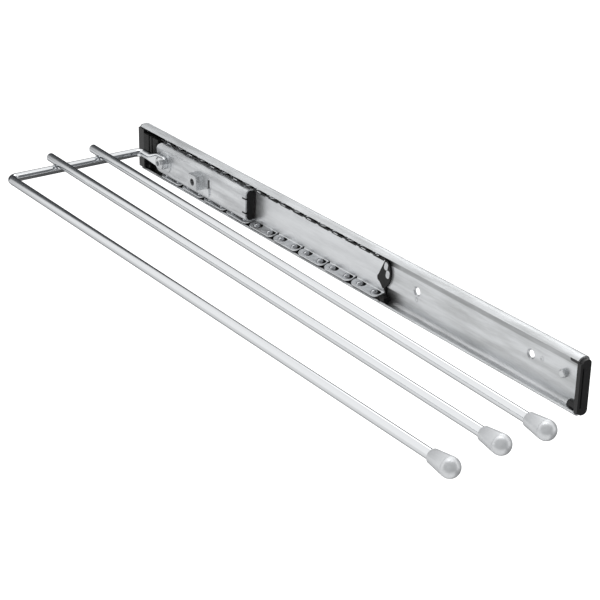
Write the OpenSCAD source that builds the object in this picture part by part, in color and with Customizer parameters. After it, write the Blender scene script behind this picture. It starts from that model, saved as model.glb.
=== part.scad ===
// Side-mounted pull-out rail with three wire arms for trousers or towels.
// A ball slide: the long outer rail is screwed to a cabinet side, a short
// carriage runs in it on two rows of balls held by a steel cage, and a bent
// wire frame with three arms hangs on the carriage.
//
// Frame: origin at the middle of the rail's back face, +X the way it pulls
// out, +Y towards the cabinet side, +Z up. Depths (u) are measured from the
// back face towards the arms, so u = -Y. Millimetres.

/* [Rail] */
// Length of the outer rail without its end caps
rail_len = 450; // [440:5:500]
// Height of the rolled rail section
rail_h = 35; // [34:0.5:37]
// Depth of the rail section, back face to lips
rail_d = 8.8; // [8.6:0.1:9.4]
// Thickness of the rolled strip
rail_t = 1.2; // [1.1:0.05:1.3]
// Angle above level at which the front lips stop
lip_angle = 28; // [25:1:36]
// Diameter of the screw holes in the web
screw_hole_d = 4.4; // [4:0.1:4.8]
// Diameter of the countersinks of the screw holes at the inner face
screw_sink_d = 6.2; // [5.4:0.1:6.4]
// Distance between the two holes of one screw pair
screw_pitch = 99; // [90:1:104]
// Distance from each end of the rail to the nearest screw hole
screw_inset = 43; // [40:0.5:46]
// Diameter of the embossed stop near the front end
stop_d = 4.8; // [4:0.1:5.2]
// Height of the embossed stop above the web
stop_h = 2.6; // [2.4:0.1:2.8]
// Distance from the front end of the rail to the middle of the stop
stop_inset = 16; // [15:0.5:17]
// Diameter of the two small locating dimples sunk in the web
dimple_d = 3; // [2.4:0.1:3.6]
// Depth of the locating dimples
dimple_h = 0.5; // [0.3:0.1:0.7]
// Distance of the front dimple behind the stop
dimple_back = 18; // [16:0.5:19]

/* [End caps] */
// How far an end cap stands out of the rail end
cap_proud = 2.6; // [1.6:0.1:3]
// How deep the pegs of an end cap reach into the raceways
cap_plug = 8; // [6:0.5:9]
// How deep the rear end cap fills the channel
cap_fill = 4.5; // [3:0.5:5]
// Width of the groove down the face of an end cap
cap_groove_w = 1.1; // [0.8:0.1:1.6]
// Depth of the groove down the face of an end cap
cap_groove_d = 0.7; // [0.4:0.1:1]
// Distance of the groove from the front of the cap
cap_groove_in = 1.6; // [1.3:0.1:2.4]
// Height of the rubber buffer behind the carriage
buffer_h = 15; // [10:1:16]
// Height of the middle of the rear buffer
buffer_z = 4.5; // [3:0.5:5]

/* [Balls and cage] */
// Diameter of the balls
ball_d = 5; // [4.76:0.02:5.2]
// Running clearance between a ball and its raceways
ball_play = 0.06; // [0.03:0.01:0.09]
// Thickness of the cage strip
cage_t = 0.5; // [0.4:0.05:0.6]
// Distance between the cage web and the rail web
cage_gap = 0.3; // [0.3:0.05:0.4]
// How far the cage starts behind the carriage
cage_lead = 0.6; // [0:0.2:2]
// Length of one lobe and its slit
lobe_pitch = 28.2; // [27.2:0.1:29]
// Distance between the two balls of a lobe
ball_pair = 14.8; // [12:0.1:15.4]
// Width of the slit between two lobes
slit_w = 1; // [0.8:0.1:1.6]
// Radius of the front corners of a lobe
lobe_r = 4.2; // [3:0.1:4.8]
// Diameter of the relief hole at the inner end of each slit
keyhole_d = 2.2; // [1.6:0.1:2.6]
// Radius of the corners between the web and the lobes, at mid thickness
cage_bend = 1.2; // [1:0.1:1.5]
// Outward slope of the lobes
lobe_angle = 14; // [8:1:16]
// How far the lobes lie inside the ball centres
cage_offset = 1; // [0.8:0.05:1.2]
// How far the lobes stop short of the rail lips
lobe_short = 0.4; // [0.3:0.1:1]
// How far the buffer leads the front end of the cage
lead_l = 6; // [5.4:0.1:6.4]
// Radius of the round front of the buffer
lead_r = 12.6; // [12:0.2:14]
// Height of the middle of the round front
lead_z = 2.2; // [1.6:0.2:3]
// Thickness of the flat tongue of the buffer
tongue_t = 0.7; // [0.6:0.05:0.8]
// How far the round heel of the tongue reaches back over the cage
heel_l = 6.7; // [5:0.1:8]
// Radius of the heel
heel_r = 2.4; // [2:0.1:3]
// Height of the middle of the heel
heel_z = -3.2; // [-4:0.1:-2]

/* [Carriage] */
// Distance of the carriage from the rear end of the rail
rear_x = 25.3; // [24:0.1:26]
// Length of the carriage
carriage_len = 113.7; // [110:0.1:116]
// Distance of the carriage face from the back of the rail
face_u = 10.4; // [10.2:0.1:10.8]
// Thickness of the carriage sheet
sheet_t = 1.2; // [1:0.05:1.3]
// Angle from straight down at which each side of the inner raceway ends
race_angle = 30; // [26:1:31]
// Outside radius of the folded edges of the carriage
fold_r = 4; // [3:0.1:4.2]
// Radius of the rear corners of the carriage face
corner_r = 4.6; // [4.4:0.1:5.5]
// Length of the two notches in the front edge of the carriage
notch_l = 4; // [3:0.5:5]
// Width of the notches
notch_w = 1.2; // [1:0.1:1.4]
// Height of the notches above and below the middle
notch_z = 5; // [4.6:0.1:5.4]
// How far the rubber bumper stands out of the front end
bumper_proud = 0.4; // [0.3:0.1:1]
// Length of the bumper
bumper_l = 9; // [6:1:12]
// Width and height of the square nut welded to the carriage
square_w = 10; // [9:0.5:11]
// How far the square nut stands out of the carriage face
square_h = 6; // [5:0.1:7]
// Thread diameter of the square nut
square_d = 5; // [4:0.5:6]
// Distance of the square nut from the rear end of the rail
square_x = 82; // [80:0.5:84]
// Height of the middle of the square nut
square_z = 0.4; // [-1:0.1:2]
// Distance of the slot from the rear end of the rail
slot_x = 93.7; // [92.5:0.1:96]
// Width of the slot
slot_w = 2.4; // [1.8:0.1:2.8]
// Height of the slot
slot_h = 6; // [5:0.1:7]
// Height of the lower end of the slot
slot_low = -1.7; // [-2.5:0.1:-1]
// Height of the tongue pressed out under the slot
lance_h = 5.8; // [5:0.1:6.4]
// How far the tongue stands out of the carriage face
lance_u = 0.9; // [0.5:0.1:1.2]
// Diameter of the pressed boss under the wire end
boss_d = 15.4; // [14:0.2:17]
// How far the boss stands out of the carriage face
boss_h = 0.5; // [0.3:0.1:0.8]

/* [Wire frame] */
// Diameter of the chromed wire
rod_d = 6; // [5:0.1:6.4]
// Centre-line radius of the two bends
bend_r = 5; // [4.5:0.5:9]
// Distance of the cross bar from the rear end of the rail
bar_x = 8.6; // [7.6:0.1:10]
// Distance of the front arm from the back of the rail
front_u = 117; // [110:1:124]
// Distance of the middle arm root from the back of the rail
middle_u = 80.4; // [76:0.2:86]
// Distance of the rear arm root from the back of the rail
rear_u = 46.9; // [44:0.1:52]
// How far the middle and rear arms stand out behind the cross bar
arm_tail = 10.5; // [8:0.5:14]
// Distance from the rear end of the rail to the knob tips
tip_x = 484.3; // [478:0.1:490]
// Sideways lean of the middle arm, in degrees
middle_yaw_angle = 0.52; // [0:0.02:0.7]
// Downward lean of the middle arm, in degrees
middle_tilt_angle = 0.34; // [0:0.02:0.5]
// Sideways lean of the rear arm, in degrees
rear_yaw_angle = 0.94; // [0:0.02:1.1]
// Downward lean of the rear arm, in degrees
rear_tilt_angle = 0.48; // [0:0.02:0.6]
// How deep the welding sinks the arms into the cross bar
weld_sink = 0.7; // [0.3:0.1:1.1]
// Size of the weld beads where the arms cross the bar
weld_r = 2; // [1.6:0.1:2.2]

/* [Knobs] */
// Length of a knob
knob_len = 22.3; // [20:0.1:24]
// Largest diameter of a knob
knob_d = 11.4; // [10:0.1:12]
// Diameter of a knob where the wire enters it
knob_neck_d = 8; // [7.8:0.1:9]
// Depth of the wire socket in a knob
socket_l = 15; // [12:0.5:16]

/* [Fasteners] */
// Distance from the rear end of the rail to the frame screw
screw_x = 36.8; // [36:0.1:38]
// Thread diameter of the frame screw
screw_d = 5; // [4.5:0.1:5.5]
// Head diameter of the frame screw
head_d = 9; // [8:0.1:9.5]
// Head height of the frame screw
head_h = 2.6; // [2:0.1:3]
// Width of the hexagon socket in the screw head
hex_w = 3.4; // [3:0.1:3.6]
// Width across flats of the frame nut
nut_w = 8; // [7.8:0.1:8.4]
// Height of the frame nut
nut_h = 3.2; // [2.8:0.1:3.3]
// Thickness of the wire end where it is flattened for the screw
spade_t = 3.2; // [2.8:0.1:3.8]
// Width of the flattened wire end
spade_w = 9.6; // [9:0.1:10.4]
/* [Hidden] */
$fn = 64;

run_gap = 0.4;                         // clearance between moving pieces

ball_r = ball_d / 2;
race_r = ball_r + ball_play;
rail_rc = race_r + rail_t;             // outer corner radius of the rail
ball_z = rail_h / 2 - rail_rc;         // height of the ball centres
ball_u = rail_d / 2;                   // depth of the ball centres
lip_z = ball_z + race_r * sin(lip_angle);

cage_u = rail_t + cage_gap;            // back of the cage web
cage_m = cage_u + cage_t / 2;          // middle of the cage web
flange_u = rail_d - lobe_short;        // front of the lobes
// the round corners of the cage end at a slight crease, and its lobes slope on
crease_angle = lobe_angle + 10;
slope_u = cage_m + cage_bend * (1 - sin(crease_angle));
web_z = ball_z - cage_offset - (ball_u - slope_u) * tan(lobe_angle) - cage_bend * cos(crease_angle);
tongue_u = cage_u + cage_t + tongue_t; // front of the buffer's tongue
// half its height, inside the carriage raceways
tongue_z = ball_z - (race_r + sheet_t) * cos(race_angle) - run_gap;

// top of the carriage, a hair below the ends of its raceways
fold_z = floor(100 * (ball_z - race_r * cos(race_angle))) / 100;
carriage_end = rear_x + carriage_len;
bumper_x = carriage_end + bumper_proud;
bumper_u = tongue_u + run_gap;         // the bumper passes over the tongue
stop_x = rail_len - stop_inset;
stop_edge = stop_x - stop_d / 2 - run_gap;    // where the bumper and the cage buffer stop
cage_x = rear_x - cage_lead;
// the cage rolls half as far as the carriage, and has the lobes that its stroke has room for
lobes = round(((bumper_x + stop_edge) / 2 - lead_l - cage_x) / lobe_pitch);
cage_end = cage_x + lobes * lobe_pitch;
buffer_x = cage_end + lead_l;
travel = min(stop_edge - bumper_x, 2 * (stop_edge - buffer_x));

seat_u = face_u + boss_h;              // front of the boss, where the wire end lies
leg_u = seat_u + rod_d / 2;            // depth of the leg along the carriage
arm_z = rod_d - weld_sink;             // the arms lie on the cross bar
x0 = -rail_len / 2;                    // rear end of the rail

// ---------- helpers ----------

// extrudes a (u, z) section along X
module run(from, len)
  translate([x0 + from, 0, 0]) mirror([0, 1, 0]) rotate([90, 0, 90])
    linear_extrude(len) children();

// a cylinder along the depth, from depth u0 to depth u1
module across(x, z, u0, u1, d)
  translate([x0 + x, -u0, z]) rotate([90, 0, 0]) cylinder(h = u1 - u0, d = d);

// a block given by its X, depth and Z limits
module block(xa, xb, ua, ub, za, zb)
  translate([x0 + xa, -ub, za]) cube([xb - xa, ub - ua, zb - za]);

module wedge(r, a0, a1)
  polygon([[0, 0], [r * cos(a0), r * sin(a0)],
    [r * cos((a0 + a1) / 2), r * sin((a0 + a1) / 2)], [r * cos(a1), r * sin(a1)]]);

// part of a ring between two angles less than 150 degrees apart
module arc_strip(cu, cz, ri, ro, a0, a1)
  translate([cu, cz]) intersection() {
    difference() { circle(ro); circle(ri); }
    wedge(3 * ro, a0, a1);
  }

module both() { children(); mirror([0, 1]) children(); }

module slab(ua, ub, za, zb) translate([ua, za]) square([ub - ua, zb - za]);

// ---------- rail ----------

// web, round raceway corners and curled lips of the rolled strip
module rail_section() {
  both() {
    slab(0, rail_t, -0.01, rail_h / 2 - rail_rc);
    arc_strip(rail_rc, ball_z, race_r, rail_rc, 90, 180);
    slab(rail_rc, rail_d - rail_rc, rail_h / 2 - rail_t, rail_h / 2);
    arc_strip(rail_d - rail_rc, ball_z, race_r, rail_rc, lip_angle, 90);
  }
}

// the space inside the rail, and the front strip between the lips
module plug_section() {
  both() {
    slab(rail_t, rail_d - rail_t, -0.01, ball_z);
    slab(rail_rc, rail_d - rail_rc, ball_z - 0.01, rail_h / 2 - rail_t);
    for (u = [rail_rc, rail_d - rail_rc]) translate([u, ball_z]) circle(race_r);
    slab(rail_d - rail_rc, rail_d, -0.01, lip_z - 0.35);
  }
}

module screw_holes() {
  for (s = [-1, 1], k = [0, 1]) {
    x = rail_len / 2 + s * (rail_len / 2 - screw_inset - k * screw_pitch);
    across(x, 0, -1, rail_t + 1, screw_hole_d);
    translate([x0 + x, -rail_t - 0.01, 0]) rotate([-90, 0, 0])
      cylinder(h = (screw_sink_d - screw_hole_d) / 2, d1 = screw_sink_d, d2 = screw_hole_d);
  }
}

module outer_rail() color("silver") {
  difference() {
    run(0, rail_len) rail_section();
    screw_holes();
    // locating dimples: behind the stop, and below the third screw hole
    dimple(stop_x - dimple_back, stop_d / 5);
    dimple(rail_len - screw_inset - screw_pitch, -screw_sink_d * 0.85);
  }
  // embossed front stop with a domed top
  across(stop_x, 0, rail_t - 0.2, rail_t + stop_h - 0.6, stop_d);
  translate([x0 + stop_x, -(rail_t + stop_h - 0.6), 0]) rotate([90, 0, 0])
    cylinder(h = 0.6, d1 = stop_d, d2 = stop_d - 1.2);
}

// a shallow round pit in the inner face of the web
dimple_r = (dimple_d * dimple_d / 4 + dimple_h * dimple_h) / (2 * dimple_h);
module dimple(x, z)
  translate([x0 + x, -rail_t - dimple_r + dimple_h, z]) sphere(r = dimple_r);

// an end cap towards +X from the rear end of the rail: a grooved plate that fills the
// channel to a given depth, and two pegs in the raceways
module end_cap(fill) {
  difference() {
    run(-cap_proud, cap_proud + fill) plug_section();
    block(-cap_proud - 1, -cap_proud + cap_groove_d, rail_d - cap_groove_in - cap_groove_w,
      rail_d - cap_groove_in, -0.86 * ball_z, 0.86 * ball_z);
  }
  run(fill - 0.01, cap_plug - fill) both() translate([rail_rc, ball_z]) circle(race_r);
}

module rear_end_cap() color("#161616") end_cap(cap_fill);
module front_end_cap() color("#161616") mirror([1, 0, 0]) end_cap(0);

// ribbed rubber block behind the carriage, with a nose that meets the carriage face
module rear_buffer() color("#202020") {
  low = buffer_z - buffer_h / 2;
  top = buffer_z + buffer_h / 2;
  difference() {
    block(cap_fill, cage_x - run_gap, rail_t, rail_d, low, top);
    for (k = [1, 2])
      block(cap_fill + k * 4 + 3, cap_fill + k * 4 + 4.4, rail_d - 2, rail_d + 1, low - 1, top + 1);
    // room for the pegs of the end cap
    run(0, cap_plug + run_gap) both() translate([rail_rc, ball_z]) circle(race_r + run_gap);
  }
  block(cage_x - 3, rear_x - run_gap, face_u - sheet_t - 2, face_u - 0.5, low + 1, top - 3);
}

// ---------- balls and cage ----------

function lobe_x(i) = cage_x + (i + 0.5) * lobe_pitch;

module balls(side)
  for (i = [0 : lobes - 1], e = [-1, 1])
    translate([x0 + lobe_x(i) + e * ball_pair / 2, -ball_u, side * ball_z]) sphere(r = ball_r);

module upper_balls() color("#c9ccd0") balls(1);
module lower_balls() color("#c9ccd0") balls(-1);

// flat web, round corner and, past a slight crease, the sloping lobe
module cage_section() both() {
  slab(cage_u, cage_u + cage_t, -0.01, web_z);
  arc_strip(cage_m + cage_bend, web_z, cage_bend - cage_t / 2, cage_bend + cage_t / 2,
    90 + crease_angle, 180);
  intersection() {
    translate([slope_u, web_z + cage_bend * cos(crease_angle)]) rotate(lobe_angle)
      translate([-cage_t / 2, -cage_t / 2]) square([rail_d, cage_t]);
    slab(0, flange_u, 0, rail_h);
  }
}

// plan of one lobe with its two round front corners
module lobe_plan() {
  w = lobe_pitch - slit_w;
  f = flange_u - cage_u;
  translate([-w / 2, -f + lobe_r]) square([w, f - lobe_r]);
  translate([-w / 2 + lobe_r, -f]) square([w - 2 * lobe_r, f]);
  for (s = [-1, 1]) translate([s * (w / 2 - lobe_r), -f + lobe_r]) circle(lobe_r);
}

module ball_cage() color("#b9bcbf") {
  difference() {
    intersection() {
      run(cage_x, cage_end - cage_x) cage_section();
      union() {
        // web, and both rows of lobes parted by slits
        block(cage_x, cage_end, cage_u - 1, cage_u + cage_t + 0.3, -rail_h, rail_h);
        for (i = [0 : lobes - 1])
          translate([x0 + lobe_x(i), -cage_u, -rail_h / 2]) linear_extrude(rail_h)
            lobe_plan();
      }
    }
    // ball pockets
    for (s = [-1, 1], i = [0 : lobes - 1], e = [-1, 1])
      translate([x0 + lobe_x(i) + e * ball_pair / 2, -ball_u, s * ball_z])
        sphere(r = ball_r + 0.04);
    // relief holes in the corners, at the inner ends of the slits
    for (s = [-1, 1], i = [1 : lobes - 1])
      translate([x0 + cage_x + i * lobe_pitch, -cage_u - cage_t - 0.6, s * (web_z + 1.7) - 2])
        cylinder(h = 4, d = keyhole_d);
  }
  // round tab at the front end that carries the buffer
  sheet(cage_u, cage_u + cage_t) tab_plan();
}

// a plate cut to a plan in X and Z about the front end of the cage
module sheet(ua, ub)
  translate([x0 + cage_end, -ua, 0]) rotate([90, 0, 0]) linear_extrude(ub - ua) children();

module tab_plan() intersection() {
  translate([lead_l - lead_r, lead_z]) circle(lead_r - 0.8);
  translate([-0.01, lead_z - lead_r * 0.6]) square([lead_l, lead_r]);
}

// round front, pointed ends and a round heel that laps back over the web
module tongue_plan() intersection() {
  union() {
    translate([lead_l - lead_r, lead_z]) circle(lead_r);
    translate([0, -tongue_z]) square([1.4, tongue_z / 2]);
  }
  union() {
    translate([heel_r - heel_l, heel_z]) circle(heel_r);
    polygon([[0.4, tongue_z], [-heel_l, heel_z], [heel_r - heel_l, heel_z - heel_r],
      [0, -tongue_z], [lead_r, -tongue_z], [lead_r, tongue_z]]);
  }
}

// a slanting oval
module oval(w, h) rotate(-12) {
  square([w, h - w], center = true);
  for (e = [-1, 1]) translate([0, e * (h - w) / 2]) circle(d = w);
}

// black end piece that leads the cage: a flat tongue over the tab, an end rib that
// follows the cage, and two plugs that close the raceways in front of the last balls
module cage_buffer() color("#141414") {
  difference() {
    sheet(cage_u + cage_t, tongue_u) tongue_plan();
    for (p = rivet_pos) sheet(0, rail_d) translate(p) oval(rivet_w, rivet_h);
  }
  sheet(cage_u, cage_u + cage_t + 0.01) difference() {
    intersection() {
      tongue_plan();
      translate([0, -rail_h / 2]) square([lead_l, rail_h]);
    }
    tab_plan();
  }
  run(cage_end, 1.4) difference() {
    cage_section();
    slab(0, cage_u + cage_t + 0.1, 0.5 - tongue_z, tongue_z - 0.5);
  }
  run(cage_end, lead_l) both() intersection() {
    for (u = [ball_u, rail_d - rail_rc]) translate([u, ball_z]) circle(race_r - run_gap);
    slab(0, rail_d, ball_z - ball_r / 2, rail_h);
  }
}

// two oval heads in the windows of the tongue, their shanks through the tab
rivet_pos = [[lead_l * 0.26, lead_z + 4.2], [lead_l * 0.56, lead_z - 0.6]];
rivet_w = 3.4;
rivet_h = 5.4;
module buffer_rivets() color("#c4c6c8")
  for (p = rivet_pos) {
    sheet(cage_u, cage_u + cage_t + 0.01) translate(p) circle(d = 1.8);
    sheet(cage_u + cage_t, tongue_u + 0.1) translate(p) oval(rivet_w, rivet_h);
  }

// ---------- carriage ----------

module carriage_section() both() {
  fc = fold_z - fold_r;
  slab(face_u - sheet_t, face_u, -0.01, fc);
  arc_strip(face_u - fold_r, fc, fold_r - sheet_t, fold_r, 0, 90);
  slab(ball_u + race_r * sin(race_angle), face_u - fold_r, fold_z - sheet_t, fold_z);
  arc_strip(ball_u, ball_z, race_r, race_r + sheet_t, 270 - race_angle, 271 + race_angle);
}

module carriage() color("#cfd1d3") difference() {
  union() {
    run(rear_x, carriage_len) carriage_section();
    // tongue pressed out under the slot
    block(slot_x - slot_w / 2, slot_x + slot_w / 2, face_u - 0.1, face_u + lance_u,
      slot_low - lance_h + slot_w / 2, slot_low);
    across(slot_x, slot_low - lance_h + slot_w / 2, face_u - 0.1, face_u + lance_u, slot_w);
    // pressed boss under the wire end
    across(screw_x, 0, face_u - 0.1, seat_u, boss_d);
  }
  across(screw_x, 0, 0, seat_u - sheet_t, boss_d - 2 * sheet_t);
  // round rear corners
  for (s = [-1, 1]) difference() {
    block(rear_x - 1, rear_x + corner_r, 0, face_u + 1,
      s > 0 ? fold_z - corner_r : -fold_z - 1, s > 0 ? fold_z + 1 : -fold_z + corner_r);
    across(rear_x + corner_r, s * (fold_z - corner_r), -1, face_u + 2, 2 * corner_r);
  }
  notches(face_u + 1);
  across(screw_x, 0, 0, face_u + 1, screw_d);
  across(square_x, square_z, 0, face_u + 1, pilot_d);
  block(slot_x - slot_w / 2, slot_x + slot_w / 2, 0, face_u + 1, slot_low, slot_low + slot_h);
}

// the two notches in the front edge of the face, up to a given depth
module notches(u)
  for (s = [-1, 1])
    block(carriage_end - notch_l, carriage_end, face_u - sheet_t, u, s * notch_z - notch_w / 2,
      s * notch_z + notch_w / 2);

// rubber bumper in the front end of the carriage, held by two lugs in the notches
module carriage_bumper() color("#161616") {
  run(bumper_x - bumper_l, bumper_l) both() {
    slab(bumper_u, face_u - sheet_t, -0.01, fold_z - fold_r);
    slab(bumper_u, face_u - fold_r, -0.01, ball_z - race_r - sheet_t);
    translate([face_u - fold_r, fold_z - fold_r]) circle(fold_r - sheet_t);
  }
  notches(face_u - 0.2);
}

pilot_d = square_d + 2;                // collar of the square nut in the carriage
module square_nut() color("#c9cbcd") difference() {
  union() {
    translate([x0 + square_x, -face_u, square_z]) rotate([90, 0, 0]) intersection() {
      translate([-square_w / 2, -square_w / 2, 0]) cube([square_w, square_w, square_h]);
      union() {
        cylinder(h = square_h - 1, d = square_w * 1.5);
        translate([0, 0, square_h - 1]) cylinder(h = 1, d1 = square_w * 1.5, d2 = square_w * 1.25);
      }
    }
    across(square_x, square_z, face_u - sheet_t, face_u + 0.1, pilot_d);
  }
  across(square_x, square_z, 0, face_u + square_h + 1, square_d);
}

// ---------- wire frame ----------

// quarter bend of the wire in the XY plane, from +X round to +Y
module bend() rotate([0, 0, 180]) rotate_extrude(angle = 90) translate([bend_r, 0]) circle(d = rod_d);

module wire(from, len) translate([x0 + from, 0, 0]) rotate([0, 90, 0]) cylinder(h = len, d = rod_d);

arm_end = tip_x - knob_len + socket_l;      // end of the front wire

module frame_rod() color("#dfe1e3") difference() {
  union() {
    translate([0, -front_u, 0]) wire(bar_x + bend_r, arm_end - bar_x - bend_r);
    translate([x0 + bar_x + bend_r, -front_u + bend_r, 0]) bend();
    translate([x0 + bar_x, -front_u + bend_r, 0]) rotate([-90, 0, 0])
      cylinder(h = front_u - leg_u - 2 * bend_r, d = rod_d);
    translate([x0 + bar_x + bend_r, -leg_u - bend_r, 0]) mirror([0, 1, 0]) bend();
    translate([0, -leg_u, 0]) wire(bar_x + bend_r, screw_x - 6 - bar_x - bend_r);
    // flattened end on the carriage face
    block(screw_x - 8.4, screw_x, seat_u, seat_u + spade_t, -spade_w / 2, spade_w / 2);
    across(screw_x, 0, seat_u, seat_u + spade_t, spade_w);
  }
  across(screw_x, 0, 0, 30, screw_d);
}

// root of an arm on the cross bar, turned to its own direction
module at_arm(root_u, yaw, drop)
  translate([x0 + bar_x, -root_u, arm_z]) rotate([0, 0, -yaw]) rotate([0, drop, 0]) children();

reach = tip_x - bar_x;

module arm() translate([-arm_tail, 0, 0]) rotate([0, 90, 0])
  cylinder(h = arm_tail + reach - knob_len + socket_l, d = rod_d);

// the cross bar as a tool that cuts the saddles of the arms
module cross_bar() translate([x0 + bar_x, -front_u, 0]) rotate([-90, 0, 0]) cylinder(h = front_u, d = rod_d);

module middle_arm() color("#dfe1e3") difference() {
  at_arm(middle_u, middle_yaw_angle, middle_tilt_angle) arm();
  cross_bar();
}
module rear_arm() color("#dfe1e3") difference() {
  at_arm(rear_u, rear_yaw_angle, rear_tilt_angle) arm();
  cross_bar();
}

// fillets of weld metal in the crook under each arm, before and behind the bar
module weld_beads() color("#b4b6b8") difference() {
  for (u = [middle_u, rear_u], s = [-1, 1])
    translate([x0 + bar_x + s * rod_d * 0.44, -u, arm_z / 2]) sphere(r = weld_r);
  cross_bar();
  at_arm(middle_u, middle_yaw_angle, middle_tilt_angle) arm();
  at_arm(rear_u, rear_yaw_angle, rear_tilt_angle) arm();
}

// ---------- knobs ----------

// teardrop knob along +X, neck at the origin
module knob() rotate([0, 90, 0]) {
  r = knob_d / 2;
  cone_l = knob_len - r - 1;
  difference() {
    union() {
      cylinder(h = cone_l, d1 = knob_neck_d, d2 = knob_d);
      translate([0, 0, cone_l]) cylinder(h = 2, d = knob_d);
      translate([0, 0, cone_l + 2]) intersection() {
        translate([0, 0, knob_len - cone_l - 2 - dome_r]) sphere(r = dome_r);
        cylinder(h = r + 2, r = r);
      }
    }
    translate([0, 0, -1]) cylinder(h = socket_l + 1, d = rod_d);
  }
}

// sphere through the rim of the knob and its tip
dome_h = knob_len - (knob_len - knob_d / 2 - 1) - 2;
dome_r = (pow(knob_d / 2, 2) + pow(dome_h, 2)) / (2 * dome_h);

module front_knob() color("#b8babc", 0.8) translate([x0 + tip_x - knob_len, -front_u, 0]) knob();
module middle_knob() color("#b8babc", 0.8)
  at_arm(middle_u, middle_yaw_angle, middle_tilt_angle) translate([reach - knob_len, 0, 0]) knob();
module rear_knob() color("#b8babc", 0.8)
  at_arm(rear_u, rear_yaw_angle, rear_tilt_angle) translate([reach - knob_len, 0, 0]) knob();

// ---------- fasteners ----------

nut_u = seat_u - sheet_t - 1;           // front of the frame nut
screw_end = nut_u - nut_h;

module frame_screw() color("#c8cacc") difference() {
  union() {
    across(screw_x, 0, screw_end, seat_u + spade_t, screw_d);
    translate([x0 + screw_x, -(seat_u + spade_t), 0]) rotate([90, 0, 0]) {
      cylinder(h = head_h - 1, d = head_d);
      translate([0, 0, head_h - 1]) cylinder(h = 1, d1 = head_d, d2 = head_d - 2.4);
    }
  }
  translate([x0 + screw_x, -(seat_u + spade_t + head_h - 1.8), 0]) rotate([90, 0, 0])
    linear_extrude(3) hexagon(hex_w);
}

module hexagon(w) polygon([for (i = [0 : 5]) w / sqrt(3) * [cos(60 * i), sin(60 * i)]]);

module lock_washer() color("#9a9c9e") difference() {
  across(screw_x, 0, nut_u, nut_u + 1, 9);
  across(screw_x, 0, 0, rail_h, screw_d);
  block(screw_x - 0.4, screw_x + 0.4, 0, rail_h, 0, 8);
}

module frame_nut() color("#9a9c9e") difference() {
  translate([x0 + screw_x, -screw_end, 0]) rotate([90, 0, 0]) linear_extrude(nut_h) hexagon(nut_w);
  across(screw_x, 0, 0, rail_h, screw_d);
}

// ---------- assembly ----------

outer_rail();
front_end_cap();
rear_end_cap();
rear_buffer();
ball_cage();
upper_balls();
lower_balls();
cage_buffer();
buffer_rivets();
carriage();
carriage_bumper();
square_nut();
frame_rod();
middle_arm();
rear_arm();
weld_beads();
frame_screw();
lock_washer();
frame_nut();
front_knob();
middle_knob();
rear_knob();
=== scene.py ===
# Side-mounted pull-out rail with three chromed wire arms.
# Metres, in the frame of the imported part: +X pulls out, +Y is the cabinet side, +Z is up.
# The settings are in millimetres and degrees where nothing else is said.
import math

import bpy
import bmesh
from mathutils import Matrix, Vector


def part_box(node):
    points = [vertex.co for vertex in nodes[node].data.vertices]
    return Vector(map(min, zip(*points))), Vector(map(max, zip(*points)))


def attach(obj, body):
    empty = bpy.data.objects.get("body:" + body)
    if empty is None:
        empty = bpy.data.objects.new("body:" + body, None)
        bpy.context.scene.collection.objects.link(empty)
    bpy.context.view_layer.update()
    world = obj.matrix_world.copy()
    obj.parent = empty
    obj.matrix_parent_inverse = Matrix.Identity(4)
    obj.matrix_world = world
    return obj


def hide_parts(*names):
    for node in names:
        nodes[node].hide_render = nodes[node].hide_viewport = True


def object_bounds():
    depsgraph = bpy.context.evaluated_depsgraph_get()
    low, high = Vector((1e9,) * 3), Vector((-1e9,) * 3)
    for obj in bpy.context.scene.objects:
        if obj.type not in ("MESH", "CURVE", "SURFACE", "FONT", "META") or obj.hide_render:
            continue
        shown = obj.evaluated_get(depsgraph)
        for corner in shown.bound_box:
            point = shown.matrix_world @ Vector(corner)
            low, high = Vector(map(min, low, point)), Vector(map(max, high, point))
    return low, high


mm = 0.001
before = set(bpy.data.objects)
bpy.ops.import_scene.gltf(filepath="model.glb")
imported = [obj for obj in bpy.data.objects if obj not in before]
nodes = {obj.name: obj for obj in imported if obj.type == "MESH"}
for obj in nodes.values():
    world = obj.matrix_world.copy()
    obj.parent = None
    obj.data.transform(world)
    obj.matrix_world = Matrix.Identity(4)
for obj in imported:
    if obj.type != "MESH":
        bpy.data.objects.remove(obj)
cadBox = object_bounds()
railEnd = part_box("outer_rail")[0][0]
print("frame loaded:", len(nodes), "nodes")


def toLinear(hexColour):
    values = [int(hexColour[i:i + 2], 16) / 255 for i in (1, 3, 5)]
    return [v / 12.92 if v <= 0.04045 else ((v + 0.055) / 1.055) ** 2.4 for v in values] + [1.0]


def addNode(tree, kind, settings=None, links=None):
    node = tree.nodes.new(kind)
    for key, value in (settings or {}).items():
        if isinstance(key, int) or key in node.inputs:
            node.inputs[key].default_value = value
        else:
            setattr(node, key, value)
    for key, source in (links or {}).items():
        socket = source.outputs[0] if hasattr(source, "outputs") else source
        tree.links.new(socket, node.inputs[key])
    return node


# The second value is a number, or a node or socket to link.
def addMath(tree, operation, first, second=None, clamped=False):
    settings, links = {"operation": operation, "use_clamp": clamped}, {0: first}
    if isinstance(second, (int, float)):
        settings[1] = second
    elif second is not None:
        links[1] = second
    return addNode(tree, "ShaderNodeMath", settings, links)


def addRange(tree, source, start, end, low, high, smooth=False):
    return addNode(tree, "ShaderNodeMapRange",
                   {"interpolation_type": "SMOOTHSTEP" if smooth else "LINEAR",
                    "From Min": start, "From Max": end, "To Min": low, "To Max": high},
                   {"Value": source})


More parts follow.
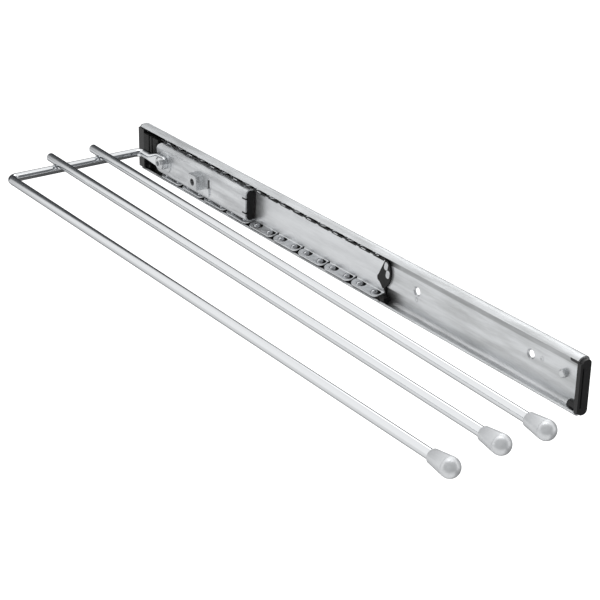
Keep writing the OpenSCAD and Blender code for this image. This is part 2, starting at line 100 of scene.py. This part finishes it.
# Noise with cells of this length, depth and height.
def addNoise(tree, place, cell, detail, roughness=0.5):
    scaled = addNode(tree, "ShaderNodeMapping", {"Scale": [1 / (side * mm) for side in cell]},
                     {"Vector": place})
    noise = addNode(tree, "ShaderNodeTexNoise",
                    {"Scale": 1.0, "Detail": detail, "Roughness": roughness}, {"Vector": scaled})
    return noise.outputs["Fac"]


def addTones(tree, shader, share, colour, other):
    tone = addNode(tree, "ShaderNodeMix",
                   {"data_type": "RGBA", 6: toLinear(colour), 7: toLinear(other)}, {0: share})
    tree.links.new(tone.outputs[2], shader.inputs["Base Color"])


def addBump(tree, shader, height, strength, depth=0.05):
    bump = addNode(tree, "ShaderNodeBump", {"Strength": strength, "Distance": depth * mm},
                   {"Height": height})
    tree.links.new(bump.outputs[0], shader.inputs["Normal"])


def emptyMaterial(name):
    material = bpy.data.materials.new(name)
    material.use_nodes = True
    material.node_tree.nodes.clear()
    return material, material.node_tree


def startMaterial(name, colour, metallic, roughness, edge=None):
    material, tree = emptyMaterial(name)
    settings = {"Base Color": toLinear(colour), "Metallic": metallic, "Roughness": roughness}
    if edge:
        settings["Specular Tint"] = toLinear(edge)  # what the metal turns to at grazing angles
    shader = addNode(tree, "ShaderNodeBsdfPrincipled", settings)
    addNode(tree, "ShaderNodeOutputMaterial", links={"Surface": shader})
    place = addNode(tree, "ShaderNodeTexCoord").outputs["Object"]
    return material, tree, shader, place


# Cold-rolled strip, bright zinc plated: satin, with fine rolling lines along the strip
# and faint streaks left by the plating bath.
zincSettings = {"metallic": 0.8, "edge": "#a8aaac", "lineLength": 60, "lineSpan": (0.3, 0.7),
                "streak": (38, 5, 5), "streakSpan": (0.38, 0.66), "roughShares": (0.85, 1.2)}


def zincStrip(name, colour, streakColour, roughness, lineWidth, lineStrength):
    z = zincSettings
    material, tree, shader, place = startMaterial(name, colour, z["metallic"], roughness,
                                                  z["edge"])
    grain = addNoise(tree, place, (z["lineLength"], lineWidth, lineWidth), detail=2.0)
    bath = addNoise(tree, place, z["streak"], detail=4.0, roughness=0.6)
    streaks = addRange(tree, bath, *z["streakSpan"], 0.0, 1.0)
    addTones(tree, shader, streaks, colour, streakColour)
    rough = addRange(tree, grain, *z["lineSpan"], *[roughness * r for r in z["roughShares"]])
    tree.links.new(rough.outputs[0], shader.inputs["Roughness"])
    addBump(tree, shader, grain, lineStrength)
    return material


# Bright nickel-chrome plate on drawn wire: a mirror with faint drawing lines.
chromeSettings = {"colour": "#e9ebed", "edge": "#6c6e70", "metallic": 1.0,
                  "roughness": (0.06, 0.12), "line": (40, 0.9, 0.9), "strength": 0.06}


def chromePlate(name):
    c = chromeSettings
    material, tree, shader, place = startMaterial(name, c["colour"], c["metallic"],
                                                  c["roughness"][0], c["edge"])
    grain = addNoise(tree, place, c["line"], detail=2.0)
    rough = addRange(tree, grain, 0.0, 1.0, *c["roughness"])
    tree.links.new(rough.outputs[0], shader.inputs["Roughness"])
    addBump(tree, shader, grain, c["strength"])
    return material


# Moulded plastic or rubber, with the fine spark-eroded grain of its mould.
def mouldedPlastic(name, colour, roughness, grainSize, grainStrength, spread=0.08):
    material, tree, shader, place = startMaterial(name, colour, metallic=0.0,
                                                  roughness=roughness)
    grain = addNoise(tree, place, (grainSize, grainSize, grainSize), detail=3.0)
    rough = addRange(tree, grain, 0.0, 1.0, roughness - spread, roughness + spread)
    tree.links.new(rough.outputs[0], shader.inputs["Roughness"])
    addBump(tree, shader, grain, grainStrength)
    return material


# Satin metallic lacquer on moulded plastic, silvery, with darker edges.
lacquerSettings = {"colour": "#e4e6e8", "other": "#d8dadc", "edge": "#4c4e50", "metallic": 0.6,
                   "roughness": (0.3, 0.44), "flake": (0.5, 0.5, 0.5), "patch": (5, 5, 5),
                   "strength": 0.04}


def satinLacquer(name):
    s = lacquerSettings
    material, tree, shader, place = startMaterial(name, s["colour"], s["metallic"],
                                                  s["roughness"][0], s["edge"])
    flakes = addNoise(tree, place, s["flake"], detail=2.0)
    patches = addNoise(tree, place, s["patch"], detail=2.0)
    addTones(tree, shader, patches, s["colour"], s["other"])
    rough = addRange(tree, patches, 0.0, 1.0, *s["roughness"])
    tree.links.new(rough.outputs[0], shader.inputs["Roughness"])
    addBump(tree, shader, flakes, s["strength"])
    return material


# The product of the shares says how much of the material's own colour the painted shade hides.
def coverWithPaintedShade(tree, colour, *shares):
    cover = shares[0]
    for share in shares[1:]:
        cover = addMath(tree, "MULTIPLY", cover, share)
    shader = [n for n in tree.nodes if n.type == "BSDF_PRINCIPLED"][0]
    unshaded = shader.inputs["Base Color"].links[0].from_socket
    mixed = addNode(tree, "ShaderNodeMix", {"data_type": "RGBA", 7: toLinear(colour)},
                    {0: cover, 6: unshaded})
    tree.links.new(mixed.outputs[2], shader.inputs["Base Color"])


def placeParts(tree):
    place = [n for n in tree.nodes if n.type == "TEX_COORD"][0].outputs["Object"]
    return addNode(tree, "ShaderNodeSeparateXYZ", links={0: place}).outputs


# Painted shade in the rail's two ball tracks, under the lips: dark where the cage stands at
# rest, and weaker along the rest of the upper track. "low" to "top" is its height above or below
# the middle,
# "front" to "back" its depth. Each key with "Soft" is the length that it fades over there.
railPaintedShade = {"colour": "#2a2a28", "low": 7.3, "lowSoft": 0.7, "top": 16.35, "topSoft": 0.1,
              "front": 6.9, "frontSoft": 0.6, "back": 0.8, "backSoft": 0.2, "restEnd": 56.0,
              "restSoft": 20.0, "middleSoft": 1.0, "most": 0.9, "least": 0.34}


def addRailPaintedShade(material):
    g = railPaintedShade
    tree = material.node_tree
    parts = placeParts(tree)
    height = addMath(tree, "ABSOLUTE", parts["Z"])
    above = addRange(tree, height, g["low"] * mm, (g["low"] + g["lowSoft"]) * mm, 0.0, 1.0, True)
    under = addRange(tree, height, g["top"] * mm, (g["top"] + g["topSoft"]) * mm, 1.0, 0.0, True)
    behind = addRange(tree, parts["Y"], -(g["front"] + g["frontSoft"]) * mm, -g["front"] * mm,
                      0.0, 1.0, True)
    before = addRange(tree, parts["Y"], -g["back"] * mm, (g["backSoft"] - g["back"]) * mm,
                      1.0, 0.0, True)
    rest = addRange(tree, parts["X"], g["restEnd"] * mm, (g["restEnd"] + g["restSoft"]) * mm,
                    g["most"], 0.0, True)
    upper = addRange(tree, parts["Z"], -g["middleSoft"] * mm, g["middleSoft"] * mm,
                     0.0, g["least"], True)
    along = addMath(tree, "MAXIMUM", rest, upper)
    coverWithPaintedShade(tree, g["colour"], above, under, behind, before, along)


# Each strip's roughness, and the width and the strength of its rolling lines.
strips = {
    "railZinc": {"colour": "#eaecee", "streakColour": "#cccecf", "roughness": 0.38,
                 "lineWidth": 0.35, "lineStrength": 0.12},
    "cageZinc": {"colour": "#eef0f2", "streakColour": "#e0e2e4", "roughness": 0.34,
                 "lineWidth": 0.3, "lineStrength": 0.1},
    "carriageZinc": {"colour": "#eaecee", "streakColour": "#c6c8ca", "roughness": 0.32,
                     "lineWidth": 0.3, "lineStrength": 0.1},
    "fastenerZinc": {"colour": "#d9dbdd", "streakColour": "#c8cacc", "roughness": 0.22,
                     "lineWidth": 0.4, "lineStrength": 0.1},
    "ballPolish": {"colour": "#d4d6d9", "streakColour": "#c8cacd", "roughness": 0.08,
                   "lineWidth": 0.5, "lineStrength": 0.02},
}
plastics = {
    "capPlastic": {"colour": "#1a1a1b", "roughness": 0.42, "grainSize": 0.4,
                   "grainStrength": 0.25},
    "bufferRubber": {"colour": "#0b0b0b", "roughness": 0.6, "grainSize": 0.3,
                     "grainStrength": 0.3},
}
finishes = {name: zincStrip(name, **settings) for name, settings in strips.items()}
finishes["wireChrome"] = chromePlate("wireChrome")
for name, settings in plastics.items():
    finishes[name] = mouldedPlastic(name, **settings)
finishes["knobPlastic"] = satinLacquer("knobPlastic")
# painted shade in the rail's ball tracks
addRailPaintedShade(finishes["railZinc"])

wearers = {
    "railZinc": ["outer_rail"],
    "cageZinc": ["ball_cage"],
    "carriageZinc": ["carriage"],
    "fastenerZinc": ["buffer_rivets", "square_nut", "frame_screw", "lock_washer", "frame_nut"],
    "ballPolish": ["upper_balls", "lower_balls"],
    "wireChrome": ["frame_rod", "middle_arm", "rear_arm", "weld_beads"],
    "capPlastic": ["front_end_cap", "rear_end_cap"],
    "bufferRubber": ["rear_buffer", "cage_buffer", "carriage_bumper"],
    "knobPlastic": ["front_knob", "middle_knob", "rear_knob"],
}
for finishName, nodeNames in wearers.items():
    for nodeName in nodeNames:
        mesh = nodes[nodeName].data
        mesh.materials.clear()
        mesh.materials.append(finishes[finishName])
print("finishes done")


def addPiece(name, bm, body, material, stands, sharpAngle=35, mergeGap=0.001):
    bmesh.ops.remove_doubles(bm, verts=bm.verts, dist=mergeGap * mm)
    bmesh.ops.recalc_face_normals(bm, faces=bm.faces)
    mesh = bpy.data.meshes.new(name)
    bm.to_mesh(mesh)
    bm.free()
    for face in mesh.polygons:
        face.use_smooth = True
    mesh.set_sharp_from_angle(angle=math.radians(sharpAngle))
    mesh.materials.append(material)
    piece = bpy.data.objects.new(name, mesh)
    bpy.context.scene.collection.objects.link(piece)
    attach(piece, body)
    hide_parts(*stands)
    return piece


# Knobs: a cone that runs into a ball, with the mould's parting line near the widest place.
# Each starts a little later and ends a little earlier than the solid that it replaces.
knobSettings = {
    "ball": 5.68, "neck": 4.1, "bore": 3.04, "depth": 8.0, "lip": 0.35, "lipShare": 0.3,
    "widestShare": 0.12, "parting": 0.16, "partingHalf": 0.1, "shoulderHalf": 0.25,
    "shoulders": (0.05, 0.03), "shortTip": 1.6, "shortNeck": 1.9, "around": 72, "arc": 14,
    # how each wire leads to its knob: degrees to the side and down
    "turns": {"front_knob": (0.0, 0.0), "middle_knob": (0.52, 0.34), "rear_knob": (0.94, 0.48)},
}


# Points (x from the neck, radius), from the floor of the socket round the neck to the tip.
def knobOutline(length):
    k = knobSettings
    ball, neck, lip = k["ball"], k["neck"], k["lip"]
    middle = length - ball
    widest = middle - ball * k["widestShare"]
    outline = [(k["depth"], 0), (k["depth"], k["bore"]), (0, k["bore"]), (0, neck - lip),
               (lip * k["lipShare"], neck - lip * k["lipShare"]), (lip, neck),
               (widest - k["shoulderHalf"], ball - k["shoulders"][0]),
               (widest - k["partingHalf"], ball - k["parting"]),
               (widest + k["partingHalf"], ball - k["parting"]),
               (widest + k["shoulderHalf"], ball - k["shoulders"][1])]
    for i in range(1, k["arc"] + 1):
        turn = math.radians(90 * i / k["arc"])
        outline.append((middle + ball * math.sin(turn), ball * math.cos(turn)))
    return outline


def addKnob(node, sideways, drop):
    k = knobSettings
    low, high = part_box(node)
    length = (high[0] - low[0]) / mm - k["shortTip"] - k["shortNeck"]
    bm = bmesh.new()
    points = [bm.verts.new((x * mm, 0, r * mm)) for x, r in knobOutline(length)]
    edges = [bm.edges.new(pair) for pair in zip(points, points[1:])]
    bmesh.ops.spin(bm, geom=points + edges, cent=(0, 0, 0), axis=(1, 0, 0), angle=math.tau,
                   steps=k["around"], use_merge=True)
    # the knob turns about its own middle, on the axis of the solid
    half = length / 2 * mm
    centre = Vector((low[0] + k["shortNeck"] * mm + half, (low[1] + high[1]) / 2,
                     (low[2] + high[2]) / 2))
    turned = (Matrix.Rotation(-math.radians(sideways), 4, "Z")
              @ Matrix.Rotation(math.radians(drop), 4, "Y"))
    back = Matrix.Translation((-half, 0, 0))
    bmesh.ops.transform(bm, matrix=Matrix.Translation(centre) @ turned @ back, verts=bm.verts)
    addPiece(node.replace("_knob", "_grip"), bm, "slider",
             finishes["knobPlastic"], [node])


for node, (sideways, drop) in knobSettings["turns"].items():
    addKnob(node, sideways, drop)
print("knobs done")


# Wire frame: one length of wire, bent twice; its inner end is pressed to a flat round tongue.
# "boxy" says how far the pressed section leaves the circle, through the tongue and across it.
frameSettings = {"wire": 3.0, "bend": 5.0, "around": 40, "bendSteps": 14, "screwIn": 36.8,
                 "pressFrom": 15.0, "pressTo": 6.0, "tongueThick": 3.2, "tongueWide": 9.6,
                 "pressSteps": 24, "tipSide": 0.3, "boxy": (0.62, 0.25), "sharp": 50}


def pullEnd(bm, face, move):
    grown = bmesh.ops.extrude_face_region(bm, geom=[face])
    face = [g for g in grown["geom"] if isinstance(g, bmesh.types.BMFace)][0]
    bmesh.ops.translate(bm, verts=face.verts, vec=move)
    return face


# A quarter turn to the right, seen from above.
def bendEnd(bm, face, middle):
    turned = bmesh.ops.spin(bm, geom=[face], cent=middle, axis=(0, 0, 1),
                            angle=math.radians(-90), steps=frameSettings["bendSteps"])
    return [g for g in turned["geom_last"] if isinstance(g, bmesh.types.BMFace)][0]


def pressTongue(bm, start, screwX, legY, seat, reach=1.1):
    f = frameSettings
    wire = f["wire"] * mm
    wide, thick = f["tongueWide"] / 2 * mm, f["tongueThick"] / 2 * mm
    for vert in bm.verts:
        if vert.co.x < start or abs(vert.co.y - legY) > wire * reach:
            continue
        share = min(1.0, (vert.co.x - start) / ((f["pressFrom"] - f["pressTo"]) * mm))
        share = share * share * (3 - 2 * share)
        half = wire + (thick - wire) * share
        side = wire + (wide - wire) * share
        if vert.co.x > screwX:
            past = vert.co.x - screwX
            side = math.sqrt(max(wide ** 2 - past ** 2, (f["tipSide"] * mm) ** 2))
        out, up = (vert.co.y - legY) / wire, vert.co.z / wire
        through, across = [1 - b * share for b in f["boxy"]]
        vert.co.y = seat - half + math.copysign(abs(out) ** through, out) * half
        vert.co.z = math.copysign(abs(up) ** across, up) * side


def addFrame():
    f = frameSettings
    low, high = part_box("frame_rod")
    wire, bend = f["wire"] * mm, f["bend"] * mm
    barX, frontY, legY = low[0] + wire, low[1] + wire, high[1] - wire
    screwX = railEnd + f["screwIn"] * mm
    start = screwX - f["pressFrom"] * mm
    last = screwX + f["tongueWide"] / 2 * mm
    bm = bmesh.new()
    bmesh.ops.create_circle(bm, cap_ends=True, segments=f["around"], radius=wire)
    bmesh.ops.rotate(bm, verts=bm.verts, cent=(0, 0, 0),
                     matrix=Matrix.Rotation(math.radians(90), 3, "Y"))
    bmesh.ops.translate(bm, verts=bm.verts, vec=(high[0], frontY, 0))
    end = pullEnd(bm, bm.faces[:][0], (barX + bend - high[0], 0, 0))
    end = bendEnd(bm, end, (barX + bend, frontY + bend, 0))
    end = pullEnd(bm, end, (0, legY - frontY - 2 * bend, 0))
    end = bendEnd(bm, end, (barX + bend, legY - bend, 0))
    end = pullEnd(bm, end, (start - barX - bend, 0, 0))
    # shorter steps towards the round end
    stations = [start + (last - start) * math.sin(math.pi / 2 * i / f["pressSteps"])
                for i in range(f["pressSteps"] + 1)]
    for here, there in zip(stations, stations[1:]):
        end = pullEnd(bm, end, (there - here, 0, 0))
    pressTongue(bm, start, screwX, legY, high[1])
    addPiece("bent_frame", bm, "slider", finishes["wireChrome"], ["frame_rod"],
             f["sharp"])


addFrame()
print("frame done")


# Ball cage: the imported strip with open pockets beside the balls and slots in the upper bend.
# Its painted shade lies along the upper lobes and stays off at every half lobe.
cageSettings = {
    "start": 24.7, "pitch": 28.2, "lobes": 9, "pair": 14.8,
    "pocketY": -4.2, "pocketZ": 13.3, "pocketDepth": 2.8, "pocketAlong": 3.7,
    "pocketAcross": 2.6, "pocketShift": 1.5, "pocketSides": 28,
    "slotY": -1.9, "slotDepth": 2.6, "slotLow": 8.5, "slotHigh": 11.75, "bridge": 3.0,
    "sharp": 30, "flat": 0.9999,
    # painted shade on the upper lobes, left off at every half lobe
    "paintedShade": {"colour": "#232321", "low": 12.1, "lowSoft": 0.4, "unshaded": 1.8, "unshadedSoft": 0.5,
               "most": 0.92},
}


def addCagePaintedShade(material):
    c, g = cageSettings, cageSettings["paintedShade"]
    tree = material.node_tree
    parts = placeParts(tree)
    lobes = addRange(tree, parts["Z"], g["low"] * mm, (g["low"] + g["lowSoft"]) * mm,
                     0.0, g["most"], True)
    fromStart = addMath(tree, "SUBTRACT", parts["X"], railEnd + c["start"] * mm)
    steps = addMath(tree, "PINGPONG", fromStart, c["pitch"] / 4 * mm)
    between = addRange(tree, steps, g["unshaded"] * mm, (g["unshaded"] + g["unshadedSoft"]) * mm,
                       0.0, 1.0, True)
    coverWithPaintedShade(tree, g["colour"], lobes, between)


def addPockets(cut, x):
    c = cageSettings
    for side in (-1, 1):
        made = bmesh.ops.create_cone(cut, cap_ends=True, segments=c["pocketSides"],
                                     radius1=mm, radius2=mm, depth=c["pocketDepth"] * mm)
        bmesh.ops.scale(cut, verts=made["verts"], vec=(c["pocketAlong"], c["pocketAcross"], 1))
        bmesh.ops.translate(cut, verts=made["verts"],
                            vec=((x + c["pocketShift"]) * mm, c["pocketY"] * mm,
                                 side * c["pocketZ"] * mm))


def addSlot(cut, x, length):
    c = cageSettings
    made = bmesh.ops.create_cube(cut, size=1.0)
    bmesh.ops.scale(cut, verts=made["verts"],
                    vec=(length * mm, c["slotDepth"] * mm, (c["slotHigh"] - c["slotLow"]) * mm))
    bmesh.ops.translate(cut, verts=made["verts"],
                        vec=(x * mm, c["slotY"] * mm, (c["slotLow"] + c["slotHigh"]) / 2 * mm))


def addCage():
    c = cageSettings
    bm = bmesh.new()
    bm.from_mesh(nodes["ball_cage"].data)
    piece = addPiece("stamped_cage", bm, "cage", finishes["cageZinc"],
                     ["ball_cage"], c["sharp"])
    start = railEnd / mm + c["start"]
    halfPitch = c["pitch"] / 2
    cut = bmesh.new()
    for i in range(c["lobes"]):
        for side in (-1, 1):
            addPockets(cut, start + (i + 0.5) * c["pitch"] + side * c["pair"] / 2)
    for i in range(c["lobes"] * 2):
        addSlot(cut, start + (i + 0.5) * halfPitch, halfPitch - c["bridge"])
    toolMesh = bpy.data.meshes.new("cageTool")
    cut.to_mesh(toolMesh)
    cut.free()
    tool = bpy.data.objects.new("cageTool", toolMesh)
    bpy.context.scene.collection.objects.link(tool)
    carve = piece.modifiers.new("carve", "BOOLEAN")
    carve.operation = "DIFFERENCE"
    carve.solver = "EXACT"
    carve.object = tool
    bpy.context.view_layer.update()
    ready = piece.evaluated_get(bpy.context.evaluated_depsgraph_get())
    carved = bpy.data.meshes.new_from_object(ready)
    piece.modifiers.remove(carve)
    piece.data = carved
    carved.name = "stamped_cage"
    carved.set_sharp_from_angle(angle=math.radians(c["sharp"]))
    for face in carved.polygons:
        # the web and the cut edges stay flat
        face.use_smooth = max(abs(v) for v in face.normal) < c["flat"]
    bpy.data.objects.remove(tool)
    return piece


# painted shade along the cage's upper lobes
addCagePaintedShade(finishes["cageZinc"])
cagePiece = addCage()
print("cage done:", len(cagePiece.data.polygons), "faces")


def addSheet(name, half, material):
    mesh = bpy.data.meshes.new(name)
    bm = bmesh.new()
    bmesh.ops.create_grid(bm, x_segments=1, y_segments=1, size=half)
    bm.to_mesh(mesh)
    bm.free()
    mesh.materials.append(material)
    sheet = bpy.data.objects.new(name, mesh)
    bpy.context.scene.collection.objects.link(sheet)
    return sheet


# White seamless floor, in metres. It takes a little shadow, and the camera and the metal see
# it white.
floorSettings = {"size": 14.0, "below": 0.35, "colour": "#f4f4f4", "lift": 0.5, "mirrored": 0.86}


def paleSeamless():
    f = floorSettings
    material, tree = emptyMaterial("paleSeamless")
    white = toLinear("#ffffff")
    paper = addNode(tree, "ShaderNodeBsdfDiffuse", {"Color": toLinear(f["colour"])})
    ray = addNode(tree, "ShaderNodeLightPath").outputs
    strength = addMath(tree, "MULTIPLY", ray["Is Camera Ray"], f["lift"])
    glow = addNode(tree, "ShaderNodeEmission", {"Color": white}, {"Strength": strength})
    seen = addNode(tree, "ShaderNodeAddShader", links={0: paper, 1: glow})
    turned = addMath(tree, "MAXIMUM", ray["Is Glossy Ray"], ray["Is Transmission Ray"])
    even = addNode(tree, "ShaderNodeEmission", {"Color": white, "Strength": f["mirrored"]})
    either = addNode(tree, "ShaderNodeMixShader", links={0: turned, 1: seen, 2: even})
    addNode(tree, "ShaderNodeOutputMaterial", links={"Surface": either})
    return material


def addFloor():
    floor = addSheet("floor", floorSettings["size"] / 2, paleSeamless())
    height = cadBox[0][2] - floorSettings["below"]
    floor.data.transform(Matrix.Translation((0, 0, height)))


# A card that only reflections see, glowing in its own shade: a painted reflection. It fades out
# towards its rim, and below its foot if it has one; both are shares of half the card, counted
# from its middle.
def reflectionPaint(name, card, footSoft=0.12):
    material, tree = emptyMaterial(name)
    place = addNode(tree, "ShaderNodeTexCoord").outputs["Object"]
    if card.get("round"):
        edge = addNode(tree, "ShaderNodeVectorMath", {"operation": "LENGTH"},
                       {0: place}).outputs["Value"]
    else:
        far = addNode(tree, "ShaderNodeVectorMath", {"operation": "ABSOLUTE"}, {0: place})
        parts = addNode(tree, "ShaderNodeSeparateXYZ", links={0: far}).outputs
        edge = addMath(tree, "MAXIMUM", parts["X"], parts["Y"])
    cover = addRange(tree, edge, 1.0 - card["rim"], 1.0, card["density"], 0.0, True)
    if "foot" in card:
        height = addNode(tree, "ShaderNodeSeparateXYZ", links={0: place}).outputs["Y"]
        above = addRange(tree, height, card["foot"], card["foot"] + footSoft, 0.0, 1.0, True)
        cover = addMath(tree, "MULTIPLY", cover, above)
    clear = addNode(tree, "ShaderNodeBsdfTransparent")
    paintedGlow = addNode(tree, "ShaderNodeEmission",
                    {"Color": toLinear(card["shade"]), "Strength": card.get("glow", 1.0)})
    mixed = addNode(tree, "ShaderNodeMixShader", links={0: cover, 1: clear, 2: paintedGlow})
    addNode(tree, "ShaderNodeOutputMaterial", links={"Surface": mixed})
    return material


def addCard(name, settings):
    card = addSheet(name, 1.0, reflectionPaint(name + "Cloth", settings))
    side, top = Vector(settings["across"]), Vector(settings["up"])
    axes = Matrix((side, top, side.cross(top).normalized())).transposed()
    card.matrix_world = Matrix.Translation(Vector(settings["middle"])) @ axes.to_4x4()
    # only reflections see the card: a painted reflection
    card.visible_camera = False
    card.visible_diffuse = False
    card.visible_shadow = False
    card.visible_transmission = False
    card.visible_volume_scatter = False


# The studio, in metres and watts. "across" and "up" are half a card's width and height.
studio = {
    "worldStrength": 0.8,
    "cards": {
        # dark, far behind the rail's rear end: a painted dark reflection, the band along the
        # wires
        "rearFlag": {"middle": (-3.0, 0.35, -0.1), "across": (0, 2.3, 0), "up": (0, 0, 2.3),
                     "shade": "#5c5e60", "density": 1.0, "rim": 0.1, "foot": -0.15,
                     "round": True},
        # dark, behind and below: painted dark reflections, the outlines of the wires
        "backFlag": {"middle": (-1.6, 1.9, 0.25), "across": (2.6, 0, 0), "up": (0, 0, 0.65),
                     "shade": "#2c2d2e", "density": 0.92, "rim": 0.15},
        "floorFlag": {"middle": (-0.35, 0.75, -0.34), "across": (1.75, 0, 0),
                      "up": (0, 0.78, 0), "shade": "#1c1d1e", "density": 0.9, "rim": 0.12},
        # grey, in front: a painted grey reflection on the round ends of the knobs
        "frontFlag": {"middle": (0.62, -0.45, 0.2), "across": (0.95, 1.3, 0),
                      "up": (-0.5, 0.36, 1.3), "shade": "#727476", "density": 1.0, "rim": 0.1},
        # white and glowing, high behind: a painted highlight on the top of the rail
        "backCard": {"middle": (-1.9, 2.45, 1.9), "across": (0.85, 0.7, 0),
                     "up": (0.25, -0.25, 0.7), "shade": "#ffffff", "density": 1.0, "rim": 0.3,
                     "glow": 2.4},
    },
    "lamps": {
        "topSoft": {"place": (0.1, -0.2, 1.6), "aim": (0, 0, 0), "size": 1.4, "power": 9},
        "frontSoft": {"place": (0.9, -1.5, 0.7), "aim": (0, 0, 0), "size": 1.0, "power": 3},
    },
}


# The even sky lights the object at its own strength; camera, mirrors and glass see it white.
def addWorld():
    world = bpy.data.worlds.new("studioWorld")
    bpy.context.scene.world = world
    world.use_nodes = True
    tree = world.node_tree
    tree.nodes.clear()
    ray = addNode(tree, "ShaderNodeLightPath").outputs
    seen = addMath(tree, "ADD", ray["Is Camera Ray"], ray["Is Glossy Ray"])
    seen = addMath(tree, "ADD", seen, ray["Is Transmission Ray"], True)
    level = addRange(tree, seen, 0.0, 1.0, studio["worldStrength"], 1.0)
    sky = addNode(tree, "ShaderNodeBackground", {"Color": toLinear("#ffffff")},
                  {"Strength": level})
    addNode(tree, "ShaderNodeOutputWorld", links={"Surface": sky})


def addLamp(name, settings):
    lamp = bpy.data.lights.new(name, "AREA")
    lamp.shape = "SQUARE"
    lamp.size = settings["size"]
    lamp.energy = settings["power"]
    lampObject = bpy.data.objects.new(name, lamp)
    place, aim = Vector(settings["place"]), Vector(settings["aim"])
    lampObject.location = place
    lampObject.rotation_euler = (aim - place).to_track_quat("-Z", "Y").to_euler()
    bpy.context.scene.collection.objects.link(lampObject)


# The camera stands in front of the rail's front end, above it, with a long lens.
cameraSettings = {"place": (780.5, -586.3, 407.0), "azimuth": 54.34, "down": 24.51,
                  "roll": -1.09, "lens": 101.3, "sensor": 36}


def addCamera():
    c = cameraSettings
    azimuth, down, roll = [math.radians(c[key]) for key in ("azimuth", "down", "roll")]
    forward = Vector((-math.sin(azimuth) * math.cos(down), math.cos(azimuth) * math.cos(down),
                      -math.sin(down)))
    level = Vector((math.cos(azimuth), math.sin(azimuth), 0))
    right = level * math.cos(roll) + forward.cross(level) * math.sin(roll)
    below = forward.cross(right)
    cameraData = bpy.data.cameras.new("camera")
    cameraData.sensor_width = c["sensor"]
    cameraData.lens = c["lens"]
    camera = bpy.data.objects.new("camera", cameraData)
    axes = Matrix((right, -below, -forward)).transposed()
    camera.matrix_world = Matrix.Translation(Vector(c["place"]) * mm) @ axes.to_4x4()
    bpy.context.scene.collection.objects.link(camera)
    bpy.context.scene.camera = camera


addFloor()
addWorld()
for name, settings in studio["cards"].items():
    addCard(name, settings)
for name, settings in studio["lamps"].items():
    addLamp(name, settings)
addCamera()
bpy.context.scene.view_settings.view_transform = "Standard"
print("studio done")
